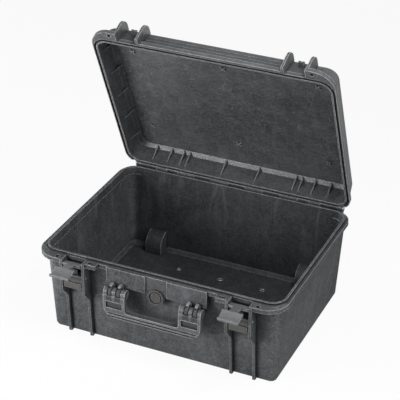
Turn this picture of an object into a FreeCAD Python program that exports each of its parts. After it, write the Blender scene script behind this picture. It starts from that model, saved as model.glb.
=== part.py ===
import FreeCAD, Part
import math
import os

from FreeCAD import Vector

# Waterproof utility case with a hinged lid, two latches, a folding handle and a pressure valve.
# Frame: origin at the middle of the underside, +X to the right seen from the front,
# the front faces -Y and +Z is up. The lid is modelled shut and then swung open about its hinge.
# All sizes are in millimetres.

# Base shell
base_height = 185.0
bottom_half_width = 235.5
bottom_half_depth = 173.0
wall_lean = 12.5
wall = 4.0
floor_thickness = 4.0
bottom_corner_radius = 13.0
rim_corner_radius = 30.0
bottom_edge_round = 5.0
inside_chamfer = 6.5

# Rim flange: reaches are measured outwards from the sealing tongue
tongue_height = 4.0
flange_thickness = 8.5
flange_reach = 7.0
back_flange_reach = 4.5
skirt_height = 6.0
front_panel_reach = 10.5
front_edge_reach = 6.5
loop_reach = 18.5
loop_round = 2.0
ear_reach = 21.0
ear_corner_radius = 42.0
bay_reach = 1.5
rim_gap = 0.4

# Lid shell, measured with the lid shut
lid_height = 51.0
roof_thickness = 4.0
lid_side_lean = 9.0
lid_front_lean = 14.5
lid_back_lean = 3.5
lid_corner_radius = 24.0
lid_edge_round = 6.0
lid_flange_thickness = 8.5
lid_flange_reach = 2.0
lid_open_angle = 66.35
roof_panel_depth = 1.0
roof_panel_border = 34.0

# Seal in the lid groove
groove_clearance = 0.4
seal_thickness = 3.6
seal_clearance = 0.15
lip_thickness = 3.4

# Hinge: the axis is measured from the top of the tongue at the back, and its ends from the rim's sides
hinge_axis_reach = 9.1
hinge_axis_rise = 2.0
hinge_knuckle_radius = 7.0
hinge_pin_radius = 2.5
hinge_middle_half = 19.3
hinge_inset = 16.2
hinge_narrow = 24.5
hinge_end = 48.0
hinge_web_round = 3.0
hinge_web_step = 1.0
knuckle_gap = 0.5
hinge_clearance = 1.0
sweep_clearance = 0.4
swing_room = 1.2

# Running fits
pin_fit = 0.05

# Latch bays: drops are measured down from the rim flange's top
latch_inset = 76.0
bay_half_width = 21.0
cheek_thickness = 5.0
cheek_reach = 22.5
cheek_depth = 69.0
cheek_slant = 24.0
cheek_top_round = 2.0
cheek_round = 8.0
rib_reach = 8.0
rib_round = 4.0
back_foot_reach = 15.5
back_foot_drop = 24.0

# Latch hooks
latch_pin_radius = 2.0
hook_axis_reach = 16.5
hook_axis_drop = 10.0
hook_barrel_radius = 4.5
hook_bar_half = 18.5
hook_bar_back = 5.5
hook_bar_front = 7.5
hook_neck_half = 8.0
hook_neck_reach = 32.0
hook_neck_rise = 10.6
hook_plate = 3.2
hook_flap_half = 20.0
hook_flap_reach = 24.0
hook_flap_drop = 6.6
hook_flap_sag = 1.8
hook_lip_height = 2.4
hook_lip_length = 3.0
hook_heel_reach = 8.5
hook_heel = 4.0
hook_heel_round = 1.0

# Latch locks
lock_axis_reach = 14.0
lock_axis_drop = 35.0
lock_barrel_radius = 4.5
lock_half = 18.5
lock_block_drop = 12.0
lock_block_height = 14.0
lock_block_reach = 7.0
lock_block_thickness = 5.0
lock_back = 2.0
lock_edge_round = 1.2
lock_arm_height = 14.0
lock_arm_thickness = 4.0

# Lid guards and latch keepers
fin_reach = 19.5
fin_foot_reach = 17.5
fin_rise = 1.0
fin_round = 22.0
fin_end_round = 4.0
fin_foot_round = 1.0
fin_groove_width = 1.6
fin_groove_depth = 1.2
keeper_half = 6.0
keeper_low = 31.2
keeper_height = 8.4
keeper_reach = 15.0
keeper_lip = 3.0
keeper_dip = 1.5
keeper_notch_half = 1.5
keeper_round = 0.9

# Padlock holes and tie slots in the rim: offsets are measured from the middle of the latch
padlock_offset = 34.8
padlock_reach = 13.5
padlock_radius = 4.0
loop_offset = 36.0
loop_half = 12.5
slot_length = 13.0
slot_width = 4.4
slot_reach = 12.1

# Front panel: it ends this far inwards of the tie loops
panel_gap = 19.5
panel_height = 36.5
panel_thickness = 4.5
panel_web = 4.0
panel_recess_half = 22.0
panel_recess = 2.2

# Carrying handle: it ends inwards of the panel, and its axis is measured from the tongue
# and the rim flange's top
handle_axis_reach = 21.0
handle_axis_drop = 43.5
handle_gap = 3.0
arm_width = 45.0
handle_length = 54.5
handle_front_reach = 11.0
grip_height = 18.0
grip_thickness = 11.5
grip_round = 4.0
arm_thickness = 8.5
arm_round = 2.0
arm_step = 3.0
handle_corner_radius = 28.0
handle_inner_radius = 6.0
handle_knuckle_radius = 9.5
handle_pin_radius = 2.5
handle_pin_inset = 1.5
lug_radius = 9.0
lug_width = 8.2
lug_inner_inset = 30.3
lug_outer_inset = 12.6
lug_clearance = 0.6
lug_foot_drop = 19.5
lug_shoulder_rise = 12.5
lug_shoulder = 3.0
pocket_inset = 5.0
pocket_drop = 16.5
pocket_height = 14.0
pocket_depth = 3.5
grip_groove_height = 2.8
grip_groove_depth = 2.6
grip_groove_pitch = 6.4
grip_groove_border = 3.0

# Pressure valve
valve_drop = 40.0
valve_boss_radius = 17.5
valve_boss_reach = 8.5
valve_pad_radius = 14.0
valve_pad_thickness = 5.2
valve_ring_radius = 16.5
valve_ring_thickness = 4.0
valve_dish_radius = 13.2
valve_dish_depth = 2.8
valve_stem_radius = 6.0
valve_bore_radius = 3.0
valve_stem_fit = 0.1
valve_cap_radius = 10.2
valve_cap_thickness = 1.8
valve_cap_foot = 0.8
valve_cap_foot_width = 1.6
valve_membrane_radius = 8.5
valve_membrane_thickness = 0.5
o_ring_radius = 10.5
o_ring_thickness = 2.4
o_ring_fit = 0.05
valve_nut_flats = 20.0
valve_nut_thickness = 6.0
valve_stem_spare = 2.0

# Wheel wells moulded into the back bottom edge
well_inset = 65.0
well_half = 18.0
well_axis_inset = 3.0
well_axis_height = 19.0
well_radius = 29.0

# Small moulded details
lid_step_rises = (24.0, 34.5)
lid_step_height = 2.0
lid_step_reach = 0.8
side_rib_pitch = 67.0
side_rib_count = 5
side_rib_thickness = 2.0
side_rib_reach = 3.0
side_rib_start = 12.6
side_rib_height = 32.0
back_rib_middle = 37.6
back_rib_insets = (128.5, 115.0, 87.0, 53.0)
back_rib_thickness = 2.4
back_rib_reach = 5.0
back_rib_start = 9.6
back_rib_height = 31.0
ledge_drop = 15.0
ledge_height = 2.0
ledge_reach = 1.8
ledge_wrap = 27.0
gusset_height = 16.0
floor_stud_pitch = 95.8
floor_stud_y = 111.0
floor_stud_radius = 5.0
floor_stud_height = 3.2
roof_cross_inset = 53.8
roof_cross_front_inset = 71.7
roof_cross_back_inset = 76.7
roof_cross_length = 13.0
roof_cross_width = 2.2
roof_cross_height = 2.6

# Values that follow from the sizes above
rim_half_width = bottom_half_width + wall_lean
rim_half_depth = bottom_half_depth + wall_lean
flange_top = base_height - tongue_height
flange_low = flange_top - flange_thickness
flange_side = rim_half_width + flange_reach
lid_side = rim_half_width + lid_flange_reach
flange_back = rim_half_depth + back_flange_reach
panel_face = -(rim_half_depth + front_panel_reach)
panel_low = flange_top - panel_height
lid_low = flange_top + rim_gap
lid_top = flange_top + lid_height
lid_flange_top = lid_low + lid_flange_thickness
lid_under = lid_top - roof_thickness
groove_inner = wall + groove_clearance
lip_inner = groove_inner + lip_thickness
hinge_y = rim_half_depth + hinge_axis_reach
hinge_z = base_height + hinge_axis_rise
hinge_half = rim_half_width - hinge_inset
hinge_pitch = (hinge_half - hinge_end - 2.0 * hinge_narrow - hinge_middle_half) / 3.0
latch_x = rim_half_width - latch_inset
bay_inner = latch_x - bay_half_width
bay_outer = latch_x + bay_half_width
cheek_low = flange_top - cheek_depth
hook_y = -(rim_half_depth + hook_axis_reach)
hook_z = flange_top - hook_axis_drop
lock_y = -(rim_half_depth + lock_axis_reach)
lock_z = flange_top - lock_axis_drop
padlock_x = latch_x + padlock_offset
padlock_y = -(rim_half_depth + padlock_reach)
loop_x = latch_x - loop_offset
slot_y = -(rim_half_depth + slot_reach)
panel_half = loop_x - loop_half - panel_gap
handle_half = panel_half - handle_gap
handle_opening_half = handle_half - arm_width
lug_inner_x = handle_half - lug_inner_inset
lug_outer_x = handle_half - lug_outer_inset
handle_y = -(rim_half_depth + handle_axis_reach)
handle_z = flange_top - handle_axis_drop
valve_z = flange_top - valve_drop
boss_face = -(rim_half_depth + valve_boss_reach)
well_x = bottom_half_width - well_inset
well_y = bottom_half_depth - well_axis_inset

# Helper lengths for cuts: a cut runs this far past a face, or right through the case
past = 1.0
deep = 2.0 * (rim_half_width + rim_half_depth)

# Share of an inset that also comes off a corner radius, and the two steps of a rounded edge
radius_share = 0.8
edge_step = 0.3


def outline(corners, place):
    """Closed wire through (u, v, radius) corners; place turns u and v into a point."""
    flat = [Vector(u, v, 0) for u, v, radius in corners]
    count = len(corners)
    starts = []
    middles = []
    ends = []
    for i in range(count):
        point = flat[i]
        back = (flat[i - 1] - point).normalize()
        ahead = (flat[(i + 1) % count] - point).normalize()
        radius = corners[i][2]
        half = back.getAngle(ahead) / 2.0
        reach = radius / math.tan(half)
        starts.append(point + back * reach)
        ends.append(point + ahead * reach)
        if radius > 0:
            inward = (back + ahead).normalize()
            middles.append(point + inward * (radius / math.sin(half) - radius))
        else:
            middles.append(None)
    edges = []
    for i in range(count):
        if middles[i] is not None:
            arc = [place(p.x, p.y) for p in (starts[i], middles[i], ends[i])]
            edges.append(Part.Arc(*arc).toShape())
        following = starts[(i + 1) % count]
        if (following - ends[i]).Length > 1e-6:
            edges.append(Part.makeLine(place(ends[i].x, ends[i].y), place(following.x, following.y)))
    return Part.Wire(edges)


def side_plate(corners, x_low, x_high):
    """Plate between two x positions, from corners given as (y, z, radius)."""
    wire = outline(corners, lambda y, z: Vector(x_low, y, z))
    return Part.Face(wire).extrude(Vector(x_high - x_low, 0, 0))


def flat_plate(corners, z_low, z_high):
    """Plate between two heights, from corners given as (x, y, radius)."""
    wire = outline(corners, lambda x, y: Vector(x, y, z_low))
    return Part.Face(wire).extrude(Vector(0, 0, z_high - z_low))


def front_plate(corners, y_low, y_high):
    """Plate between two y positions, from corners given as (x, z, radius)."""
    wire = outline(corners, lambda x, z: Vector(x, y_low, z))
    return Part.Face(wire).extrude(Vector(0, y_high - y_low, 0))


def block(x_low, x_high, y_low, y_high, z_low, z_high):
    """Box between two corners."""
    return Part.makeBox(x_high - x_low, y_high - y_low, z_high - z_low, Vector(x_low, y_low, z_low))


def rod_x(x_low, x_high, y, z, radius):
    """Round bar along X."""
    return Part.makeCylinder(radius, x_high - x_low, Vector(x_low, y, z), Vector(1, 0, 0))


def rod_y(y_low, y_high, x, z, radius):
    """Round bar along Y."""
    return Part.makeCylinder(radius, y_high - y_low, Vector(x, y_low, z), Vector(0, 1, 0))


def rod_z(z_low, z_high, x, y, radius):
    """Round bar along Z."""
    return Part.makeCylinder(radius, z_high - z_low, Vector(x, y, z_low), Vector(0, 0, 1))


def rounded_rectangle(half_width, y_front, y_back, radius):
    """Corners of a rounded rectangle centred on x = 0."""
    return [
        (half_width, y_front, radius),
        (half_width, y_back, radius),
        (-half_width, y_back, radius),
        (-half_width, y_front, radius),
    ]


def section(half_width, y_front, y_back, radius, z):
    """Level wire of a rounded rectangle."""
    return outline(rounded_rectangle(half_width, y_front, y_back, radius), lambda x, y: Vector(x, y, z))


def both_sides(shape):
    """The shape and its mirror image across x = 0."""
    return [shape, mirrored(shape)]


def mirrored(shape):
    """Mirror image across x = 0."""
    return shape.mirror(Vector(0, 0, 0), Vector(1, 0, 0))


def swung_open(shape):
    """The shape, modelled with the lid shut, turned to the open lid's place."""
    turned = shape.copy()
    turned.rotate(Vector(0, hinge_y, hinge_z), Vector(1, 0, 0), -lid_open_angle)
    return turned


def wall_reach(z):
    """How far the wall has leaned outwards at a height."""
    return wall_lean * z / base_height


def base_radius(z):
    """Outer corner radius of the base at a height."""
    return bottom_corner_radius + (rim_corner_radius - bottom_corner_radius) * z / base_height


def base_section(z, inset):
    """Level outline of the base wall, moved inwards by inset."""
    half_width = bottom_half_width + wall_reach(z) - inset
    half_depth = bottom_half_depth + wall_reach(z) - inset
    return section(half_width, -half_depth, half_depth, base_radius(z) - inset * radius_share, z)


def front_wall(z):
    """y of the outer face of the front wall at a height."""
    return -(bottom_half_depth + wall_reach(z))


def lid_share(z):
    """How far up the shut lid a height lies, from 0 at its rim to 1 at its top."""
    return (z - lid_low) / (lid_top - lid_low)


def lid_front(z):
    """y of the outer face of the shut lid's front wall at a height."""
    return -rim_half_depth + lid_front_lean * lid_share(z)


def lid_section(z, inset):
    """Level outline of the lid wall, moved inwards by inset."""
    share = lid_share(z)
    half_width = rim_half_width - lid_side_lean * share - inset
    y_back = rim_half_depth - lid_back_lean * share - inset
    radius = rim_corner_radius + (lid_corner_radius - rim_corner_radius) * share - inset * radius_share
    return section(half_width, lid_front(z) + inset, y_back, radius, z)


def rim_outline(side, front):
    """Outline of a rim flange: front corners from the middle, then latch bay, padlock ear and corners."""
    bay_y = -(rim_half_depth + bay_reach)
    ear_y = -(rim_half_depth + ear_reach)
    right = front + [
        (bay_inner, bay_y, 0),
        (bay_outer, bay_y, 0),
        (bay_outer, ear_y, 0),
        (side, ear_y, ear_corner_radius),
        (side, flange_back, rim_corner_radius + side - rim_half_width),
    ]
    left = [(-x, y, radius) for x, y, radius in reversed(right)]
    return right + left


def base_rim():
    """Outline of the base's rim flange, with the front panel and the tie loops."""
    edge_y = -(rim_half_depth + front_edge_reach)
    loop_y = -(rim_half_depth + loop_reach)
    front = [
        (panel_half, panel_face, 0),
        (panel_half, edge_y, 0),
        (loop_x - loop_half, edge_y, 0),
        (loop_x - loop_half, loop_y, loop_round),
        (bay_inner, loop_y, 0),
    ]
    return rim_outline(flange_side, front)


def lid_rim():
    """Outline of the lid's rim flange, with a straight front edge between the latches."""
    return rim_outline(lid_side, [(bay_inner, -(rim_half_depth + front_edge_reach), 0)])


def padlock_holes(z_low, z_high):
    """Padlock holes through both ears of one rim flange."""
    return both_sides(rod_z(z_low, z_high, padlock_x, padlock_y, padlock_radius))


def tie_slots(z_low, z_high):
    """Slots through the tie loops of the base."""
    x_low = loop_x - slot_length / 2.0
    y_low = slot_y - slot_width / 2.0
    return both_sides(block(x_low, x_low + slot_length, y_low, y_low + slot_width, z_low, z_high))


def knuckle_spans():
    """x ranges of the hinge knuckles from left to right: base and lid take turns."""
    edges = [hinge_middle_half + hinge_pitch * i for i in range(4)]
    for width in (hinge_narrow, hinge_narrow, hinge_end):
        edges.append(edges[-1] + width)
    marks = [-x for x in reversed(edges)] + edges
    half_gap = knuckle_gap / 2.0
    return [(low + half_gap, high - half_gap) for low, high in zip(marks, marks[1:])]


def knuckles(spans, web):
    """Hinge knuckles, each on a web that grows out of the rim flange."""
    shapes = []
    for low, high in spans:
        shapes.append(rod_x(low, high, hinge_y, hinge_z, hinge_knuckle_radius))
        shapes.append(side_plate(web, low, high))
    return shapes


def base_knuckles():
    """Hinge knuckles of the base."""
    outermost = hinge_y + hinge_knuckle_radius
    web = [
        (rim_half_depth, flange_low, 0),
        (flange_back + hinge_web_step, flange_low, 0),
        (outermost, flange_top - hinge_web_step, hinge_web_round),
        (outermost, hinge_z, 0),
        (hinge_y, hinge_z, 0),
        (flange_back - hinge_web_step, flange_top, 0),
        (rim_half_depth, flange_top, 0),
    ]
    return knuckles(knuckle_spans()[0::2], web)


def lid_knuckles():
    """Hinge knuckles of the lid, modelled shut."""
    tangent = math.radians(60.0)
    touch_y = hinge_y + hinge_knuckle_radius * math.cos(tangent)
    touch_z = hinge_z + hinge_knuckle_radius * math.sin(tangent)
    web = [
        (rim_half_depth, lid_low, 0),
        (flange_back - hinge_web_step, lid_low, 0),
        (hinge_y, hinge_z, 0),
        (touch_y, touch_z, 0),
        (flange_back, lid_flange_top, 0),
        (rim_half_depth, lid_flange_top, 0),
    ]
    return knuckles(knuckle_spans()[1::2], web)


def latch_cheeks():
    """Bay cheeks of both latches, running down into the ribs of the front wall."""
    root = front_wall(0) + wall
    front = -(rim_half_depth + cheek_reach)
    slant_z = cheek_low - cheek_slant
    profile = [
        (root, flange_top, 0),
        (front, flange_top, cheek_top_round),
        (front, cheek_low, cheek_round),
        (front_wall(slant_z) - rib_reach, slant_z, cheek_round),
        (front_wall(0) - rib_reach, 0, rib_round),
        (root, 0, 0),
    ]
    inner = side_plate(profile, bay_inner - cheek_thickness, bay_inner)
    outer = side_plate(profile, bay_outer, bay_outer + cheek_thickness)
    return both_sides(inner) + both_sides(outer)


def back_feet():
    """Ribs on the back wall that the case stands on when it is set down on its hinge side."""
    root = -front_wall(0) - wall
    back = rim_half_depth + back_foot_reach
    slant_z = cheek_low - cheek_slant
    profile = [
        (root, flange_low, 0),
        (flange_back, flange_low, 0),
        (back, flange_top - back_foot_drop, cheek_round),
        (back, cheek_low, cheek_round),
        (-front_wall(slant_z) + rib_reach, slant_z, cheek_round),
        (-front_wall(0) + rib_reach, 0, rib_round),
        (root, 0, 0),
    ]
    return both_sides(side_plate(profile, bay_outer, bay_outer + cheek_thickness))


def front_panel():
    """Apron that hangs from the rim flange in front, with its webs and the handle lugs."""
    root = front_wall(0) + wall
    apron = block(-panel_half, panel_half, panel_face, panel_face + panel_thickness, panel_low, flange_top)
    web = block(panel_half - panel_web, panel_half, panel_face, root, panel_low, flange_top)
    shapes = [apron] + both_sides(web)
    lug_tip = handle_y - lug_radius
    lug = [
        (lug_tip, handle_z + lug_radius, lug_radius),
        (lug_tip, handle_z - lug_radius, lug_radius),
        (panel_face, handle_z - lug_radius, 0),
        (root, handle_z - lug_foot_drop, 0),
        (root, handle_z + lug_shoulder_rise, 0),
        (panel_face, handle_z + lug_shoulder_rise, 0),
        (panel_face - lug_shoulder, handle_z + lug_radius, 0),
    ]
    for x in (lug_inner_x, lug_outer_x):
        shapes += both_sides(side_plate(lug, x - lug_width / 2.0, x + lug_width / 2.0))
    return shapes


def wheel_well(radius, half):
    """Round-topped block of the right wheel well, open below and at the back."""
    top = rod_x(well_x - half, well_x + half, well_y, well_axis_height, radius)
    sides = block(well_x - half, well_x + half, well_y - radius, well_y + radius, -past, well_axis_height)
    return top.fuse(sides)


def inside_ledge():
    """Narrow ledge below the rim along both side walls, wrapping round the corners, with its gussets."""
    z_high = base_height - ledge_drop
    z_low = z_high - ledge_height
    half_width = bottom_half_width + wall_reach(z_low) - wall
    half_depth = bottom_half_depth + wall_reach(z_low) - wall
    radius = base_radius(z_low) - wall * radius_share
    bury = wall / 2.0
    outer = rounded_rectangle(half_width + bury, -half_depth - bury, half_depth + bury, radius)
    inner = rounded_rectangle(
        half_width - ledge_reach, -half_depth + ledge_reach, half_depth - ledge_reach, radius
    )
    ring = flat_plate(outer, z_low, z_high).cut(flat_plate(inner, z_low, z_high))
    gap = half_width - ledge_wrap
    shapes = [ring.cut(block(-gap, gap, -deep, deep, z_low, z_high))]
    foot_z = z_low - gusset_height
    foot_x = bottom_half_width + wall_reach(foot_z) - wall
    gusset = [
        (half_width + bury, z_low, 0),
        (half_width - ledge_reach, z_low, 0),
        (foot_x, foot_z, 0),
        (foot_x + bury, foot_z, 0),
    ]
    for y in side_rib_places():
        shapes += both_sides(front_plate(gusset, y, y + side_rib_thickness))
    return shapes


def side_rib_places():
    """y of the front face of each rib or gusset along a side wall."""
    middle = (side_rib_count - 1) / 2.0
    return [side_rib_pitch * (i - middle) - side_rib_thickness / 2.0 for i in range(side_rib_count)]


def floor_studs():
    """Low domed studs on the floor."""
    dome_radius = (floor_stud_radius ** 2 + floor_stud_height ** 2) / (2.0 * floor_stud_height)
    shapes = []
    for x in (-floor_stud_pitch, 0.0, floor_stud_pitch):
        for y in (-floor_stud_y, floor_stud_y):
            centre = Vector(x, y, floor_thickness + floor_stud_height - dome_radius)
            keep = rod_z(floor_thickness / 2.0, deep, x, y, floor_stud_radius)
            shapes.append(Part.makeSphere(dome_radius, centre).common(keep))
    return shapes


def base_box():
    """Outer form of the base walls: leaning sides on a rounded bottom edge."""
    wires = [
        base_section(0, bottom_edge_round),
        base_section(bottom_edge_round * edge_step, bottom_edge_round * edge_step),
        base_section(bottom_edge_round, 0),
        base_section(base_height, 0),
    ]
    return Part.makeLoft(wires, True, True)


def base_cavity():
    """Inner space of the base, with a chamfer round the floor."""
    wires = [
        base_section(floor_thickness, wall + inside_chamfer),
        base_section(floor_thickness + inside_chamfer, wall),
        base_section(base_height + past, wall),
    ]
    return Part.makeLoft(wires, True, True)


def rim_skirt():
    """Tapered underside of the rim flange."""
    radius = base_radius(flange_low) + flange_reach
    upper = section(flange_side, -(rim_half_depth + bay_reach), flange_back, radius, flange_low)
    return Part.makeLoft([base_section(flange_low - skirt_height, 0), upper], True, True)


def make_base_shell():
    """Base of the case: drafted box, rim flange, latch bays, front panel, hinge knuckles and wheel wells."""
    boss_root = front_wall(0) + wall
    added = [rim_skirt(), flat_plate(base_rim(), flange_low, flange_top)]
    added += front_panel()
    added += latch_cheeks()
    added += back_feet()
    added += base_knuckles()
    added.append(rod_y(boss_face, boss_root, 0, valve_z, valve_boss_radius))
    shell = base_box().multiFuse(added)

    recess_y = panel_face + panel_recess
    recess = block(
        -panel_recess_half, panel_recess_half, panel_face - past, recess_y, panel_low - past, flange_top + past
    )
    shell = shell.cut([recess, base_cavity()])

    inner = [rod_y(front_wall(valve_z), pad_face(), 0, valve_z, valve_pad_radius)]
    inner += inside_ledge()
    inner += floor_studs()
    inner += both_sides(wheel_well(well_radius, well_half).common(base_box()))
    shell = shell.multiFuse(inner)

    cuts = both_sides(wheel_well(well_radius - wall, well_half - wall))
    cuts += padlock_holes(flange_low - past, flange_top + past)
    cuts += tie_slots(flange_low - past, flange_top + past)
    pin_low = bay_inner - cheek_thickness - past
    pin_high = bay_outer + cheek_thickness + past
    pin_hole = latch_pin_radius + pin_fit
    cuts += both_sides(rod_x(pin_low, pin_high, hook_y, hook_z, pin_hole))
    cuts += both_sides(rod_x(pin_low, pin_high, lock_y, lock_z, pin_hole))
    cuts.append(rod_x(-deep, deep, hinge_y, hinge_z, hinge_pin_radius + pin_fit))
    cuts.append(rod_x(-handle_half, handle_half, handle_y, handle_z, handle_pin_radius + pin_fit))
    cuts.append(rod_y(-deep, 0, 0, valve_z, valve_stem_radius + valve_stem_fit))
    ring_slot = o_ring_thickness + 2.0 * o_ring_fit
    slot_end = boss_face + ring_slot
    groove = rod_y(boss_face - past, slot_end, 0, valve_z, o_ring_radius + ring_slot / 2.0)
    core = rod_y(boss_face - past, slot_end, 0, valve_z, o_ring_radius - ring_slot / 2.0)
    cuts.append(groove.cut(core))
    return shell.cut(cuts).removeSplitter()


def pad_face():
    """y of the flat pad inside the front wall that the valve nut is screwed against."""
    return front_wall(valve_z) + wall + valve_pad_thickness


def fin_plate(inset, x_low, x_high):
    """Rounded guard of the shut lid between two x positions, with its free edges moved inwards."""
    top = lid_top + fin_rise - inset
    tip = -(rim_half_depth + fin_reach) + inset
    foot = -(rim_half_depth + fin_foot_reach) + inset
    root = lid_front(lid_top) + wall
    profile = [
        (root, lid_low, 0),
        (foot, lid_low, fin_foot_round),
        (tip, top, fin_round - inset),
        (root, top, fin_end_round),
    ]
    return side_plate(profile, x_low, x_high)


def lid_fins():
    """Guards on the shut lid, one each side of each latch, grooved along their edges."""
    shapes = []
    for low in (bay_inner - cheek_thickness, bay_outer):
        fin = fin_plate(0.0, low, low + cheek_thickness)
        groove_low = low + (cheek_thickness - fin_groove_width) / 2.0
        groove_high = groove_low + fin_groove_width
        core = fin_plate(fin_groove_depth, groove_low, groove_high)
        groove = fin_plate(0.0, groove_low, groove_high).cut(core)
        shapes += both_sides(fin.cut(groove))
    return shapes


def lid_steps():
    """Level bands along the lid's front wall between the inner guards."""
    shapes = []
    reach = bay_inner - cheek_thickness
    for rise in lid_step_rises:
        low = lid_low + rise
        high = low + lid_step_height
        root = lid_front(high) + wall / 2.0
        band = [
            (root, low, 0),
            (lid_front(low) - lid_step_reach, low, 0),
            (lid_front(high) - lid_step_reach, high, 0),
            (root, high, 0),
        ]
        shapes.append(side_plate(band, -reach, reach))
    return shapes


def lid_keepers():
    """Small hooks on the lid front that the latch hooks catch."""
    low = lid_low + keeper_low
    top = low + keeper_height
    root = lid_front(lid_top) + wall
    front = lid_front(lid_top) - keeper_reach
    profile = [
        (root, low, 0),
        (lid_front(low), low, 0),
        (front, low + keeper_height / 2.0, keeper_round),
        (front, top, keeper_round),
        (front + keeper_lip, top, keeper_round),
        (front + keeper_lip, top - keeper_dip, 0),
        (root, top - keeper_dip, 0),
    ]
    hook = side_plate(profile, latch_x - keeper_half, latch_x + keeper_half)
    notch_low = latch_x - keeper_notch_half
    notch_high = latch_x + keeper_notch_half
    notch = block(notch_low, notch_high, front - past, front + keeper_lip + past, top - keeper_dip, top + past)
    return both_sides(hook.cut(notch))


def lid_ribs():
    """Ribs inside the lid along both sides and the back, and the crosses under the roof."""
    shapes = []
    side_low = lid_low + side_rib_start
    side_high = side_low + side_rib_height
    x_bury = rim_half_width - wall
    x_wall = rim_half_width - lip_inner
    side_rib = [
        (x_bury, side_low, 0),
        (x_wall, side_low, 0),
        (x_wall - lid_side_lean - side_rib_reach, side_high, 0),
        (x_bury - lid_side_lean, side_high, 0),
    ]
    for y in side_rib_places():
        shapes += both_sides(front_plate(side_rib, y, y + side_rib_thickness))
    back_low = lid_low + back_rib_start
    back_high = back_low + back_rib_height
    y_bury = rim_half_depth - wall
    y_wall = rim_half_depth - lip_inner
    back_rib = [
        (y_bury, back_low, 0),
        (y_wall, back_low, 0),
        (y_wall - back_rib_reach, back_high, 0),
        (y_wall - back_rib_reach, back_high + inside_chamfer, 0),
        (y_bury, back_high + inside_chamfer, 0),
    ]
    for x in [back_rib_middle] + [rim_half_width - inset for inset in back_rib_insets]:
        x_low = x - back_rib_thickness / 2.0
        shapes += both_sides(side_plate(back_rib, x_low, x_low + back_rib_thickness))
    half = roof_cross_length / 2.0
    thin = roof_cross_width / 2.0
    bar = block(-half, half, -thin, thin, lid_under - roof_cross_height, lid_under + past)
    cross_x = rim_half_width - roof_cross_inset
    cross_front = -rim_half_depth + roof_cross_front_inset
    cross_back = rim_half_depth - roof_cross_back_inset
    for x in (-cross_x, 0.0, cross_x):
        for y in (cross_front, cross_back):
            for turn in (45.0, -45.0):
                arm = bar.copy()
                arm.rotate(Vector(0, 0, 0), Vector(0, 0, 1), turn)
                arm.translate(Vector(x, y, 0))
                shapes.append(arm)
    return shapes


def groove_ring(inset_out, inset_in, z_low, z_high, back_room):
    """Ring that follows the sealing tongue, between two insets from the rim, with extra room at the back."""
    rings = []
    for inset, room in ((inset_out, back_room), (inset_in, 0.0)):
        half_width = rim_half_width - inset
        half_depth = rim_half_depth - inset
        radius = rim_corner_radius - inset * radius_share
        corners = rounded_rectangle(half_width, -half_depth, half_depth + room, radius)
        rings.append(flat_plate(corners, z_low, z_high))
    return rings[0].cut(rings[1])


def hinge_sweep():
    """Corner of the lid's back flange that would meet the tongue as the lid swings."""
    tongue_corner = math.hypot(hinge_axis_reach, hinge_axis_rise)
    keep = rod_x(-deep, deep, hinge_y, hinge_z, tongue_corner - sweep_clearance)
    y_low = rim_half_depth - wall
    corner = block(-rim_half_width, rim_half_width, y_low, flange_back, lid_low - past, base_height)
    return corner.cut(keep)


def make_lid_shell():
    """Lid of the case, modelled shut: drafted cap, rim flange, seal groove, guards, keepers and knuckles."""
    outer = [
        lid_section(lid_low, 0),
        lid_section(lid_top - lid_edge_round, 0),
        lid_section(lid_top - lid_edge_round * edge_step, lid_edge_round * edge_step),
        lid_section(lid_top, lid_edge_round),
    ]
    added = [flat_plate(lid_rim(), lid_low, lid_flange_top)]
    added += lid_steps()
    added += lid_fins()
    added += lid_keepers()
    added += lid_knuckles()
    shell = Part.makeLoft(outer, True, True).multiFuse(added)

    inner = [
        lid_section(lid_low - past, lip_inner),
        lid_section(lid_under - inside_chamfer, wall),
        lid_section(lid_under, wall + inside_chamfer),
    ]
    shell = shell.cut(Part.makeLoft(inner, True, True)).multiFuse(lid_ribs())

    seal_low = base_height + rim_gap
    cuts = [
        groove_ring(-groove_clearance, groove_inner, lid_low - past, seal_low + seal_thickness, 0.0),
        groove_ring(-groove_clearance, groove_inner, lid_low - past, seal_low, swing_room),
        hinge_sweep(),
    ]
    cuts += padlock_holes(lid_low - past, lid_flange_top + past)
    room = hinge_knuckle_radius + hinge_clearance
    for low, high in knuckle_spans()[0::2]:
        cuts.append(rod_x(low - knuckle_gap, high + knuckle_gap, hinge_y, hinge_z, room))
    cuts.append(rod_x(-deep, deep, hinge_y, hinge_z, hinge_pin_radius + pin_fit))
    panel = rounded_rectangle(
        rim_half_width - lid_side_lean - roof_panel_border,
        lid_front(lid_top) + roof_panel_border,
        rim_half_depth - lid_back_lean - roof_panel_border,
        lid_corner_radius,
    )
    cuts.append(flat_plate(panel, lid_top - roof_panel_depth, lid_top + past))
    return swung_open(shell.cut(cuts).removeSplitter())


def make_lid_seal():
    """Rubber seal at the bottom of the lid groove."""
    seal_low = base_height + rim_gap
    inset_out = seal_clearance - groove_clearance
    inset_in = groove_inner - seal_clearance
    return swung_open(groove_ring(inset_out, inset_in, seal_low, seal_low + seal_thickness, 0.0))


def make_hinge_pin():
    """Steel rod through all hinge knuckles."""
    spans = knuckle_spans()
    return rod_x(spans[0][0], spans[-1][1], hinge_y, hinge_z, hinge_pin_radius)


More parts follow.
